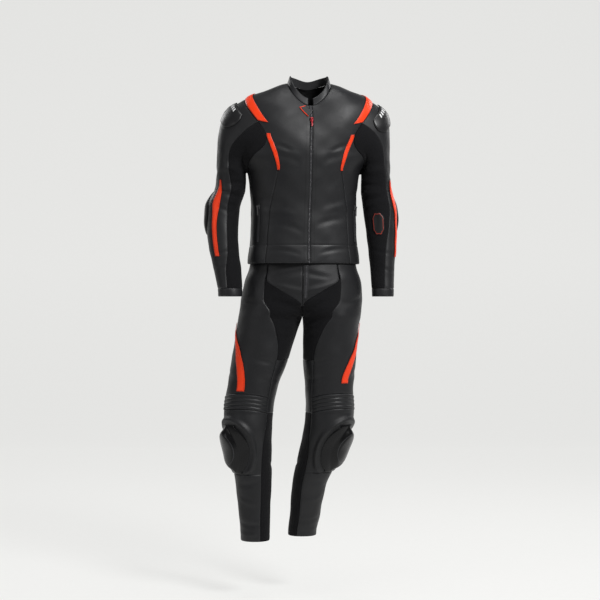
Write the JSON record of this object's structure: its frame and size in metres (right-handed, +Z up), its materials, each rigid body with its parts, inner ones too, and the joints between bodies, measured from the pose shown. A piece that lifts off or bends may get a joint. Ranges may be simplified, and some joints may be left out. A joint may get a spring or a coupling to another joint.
{
  "type": "two-piece motorcycle race suit",
  "caption": "Worn two-piece leather motorcycle race suit, hollow, with shoulder and elbow cups, ribbed knees, knee sliders, stretch panels and bright trim.",
  "frame": {"origin": "the point between the wearer's shoulders, level with the collar's foot, where a worn suit hangs", "axes": "+Z up, the suit faces -Y, +X towards the wearer's left hand"},
  "size_m": [0.6232, 0.2656, 1.4744],
  "materials": {
    "leather": "soft black cowhide with a fine grain, semi-matt",
    "stretch_fabric": "matt black woven stretch",
    "orange_leather": "bright orange-red leather, semi-matt",
    "moulded_armour": "black moulded cup with white flashes",
    "slider_plastic": "black hard plastic puck on a soft base",
    "zip_tape": "black woven tape with moulded teeth",
    "zip_metal": "dark red lacquered die cast",
    "patch": "black woven patch with a red edge"
  },
  "bodies": {
    "suit": {"chest_front_right": "leather", "side_front_right": "leather", "back_side_right": "leather", "chest_front_left": "leather", "side_front_left": "leather", "back_side_left": "leather", "back_centre": "leather", "collar": "leather", "front_zip": "zip_tape", "shoulder_band_right": "orange_leather", "chest_strip_right": "orange_leather", "shoulder_band_left": "orange_leather", "chest_strip_left": "orange_leather", "sleeve_stretch_right": "stretch_fabric", "sleeve_outer_right": "leather", "forearm_outer_right": "leather", "cuff_right": "leather", "sleeve_stretch_left": "stretch_fabric", "sleeve_outer_left": "leather", "forearm_outer_left": "leather", "cuff_left": "leather", "shoulder_cup_right": "moulded_armour", "elbow_cup_right": "moulded_armour", "elbow_stripe_right": "orange_leather", "shoulder_cup_left": "moulded_armour", "elbow_cup_left": "moulded_armour", "elbow_stripe_left": "orange_leather", "sleeve_patch_left": "patch", "hip_front_right": "leather", "crotch_stretch_right": "stretch_fabric", "thigh_front_right": "leather", "back_leg_right": "leather", "inner_thigh_right": "leather", "hip_front_left": "leather", "crotch_stretch_left": "stretch_fabric", "thigh_front_left": "leather", "back_leg_left": "leather", "inner_thigh_left": "leather", "knee_ribs_right": "leather", "knee_cup_right": "leather", "shin_right": "leather", "calf_stretch_right": "stretch_fabric", "knee_ribs_left": "leather", "knee_cup_left": "leather", "shin_left": "leather", "calf_stretch_left": "stretch_fabric", "knee_slider_right": "slider_plastic", "thigh_stripe_right": "orange_leather", "knee_slider_left": "slider_plastic", "thigh_stripe_left": "orange_leather", "waistband": "leather", "collar_tab": "leather", "front_slider": "zip_metal", "pocket_right_slider": "zip_metal", "pocket_left_slider": "zip_metal", "pocket_zip_right": "zip_tape", "pocket_zip_left": "zip_tape"},
    "front_zip_pull": {"front_pull": "zip_metal"},
    "right_pocket_pull": {"pocket_right_pull": "zip_metal"},
    "left_pocket_pull": {"pocket_left_pull": "zip_metal"}
  },
  "joints": [
    {"name": "front_pull_swing", "type": "hinge", "parent": "suit", "child": "front_zip_pull", "pos_m": [0.01804, -0.11425, -0.0517], "axis": [-0.9934, -0.1146, 0], "range_deg": [0, 150]},
    {"name": "pocket_right_pull_swing", "type": "hinge", "parent": "suit", "child": "right_pocket_pull", "pos_m": [-0.15279, -0.09048, -0.32543], "axis": [-0.7266, 0.687, 0], "range_deg": [0, 150]},
    {"name": "pocket_left_pull_swing", "type": "hinge", "parent": "suit", "child": "left_pocket_pull", "pos_m": [0.15924, -0.03406, -0.32521], "axis": [-0.4402, -0.8979, 0], "range_deg": [0, 150]}
  ]
}
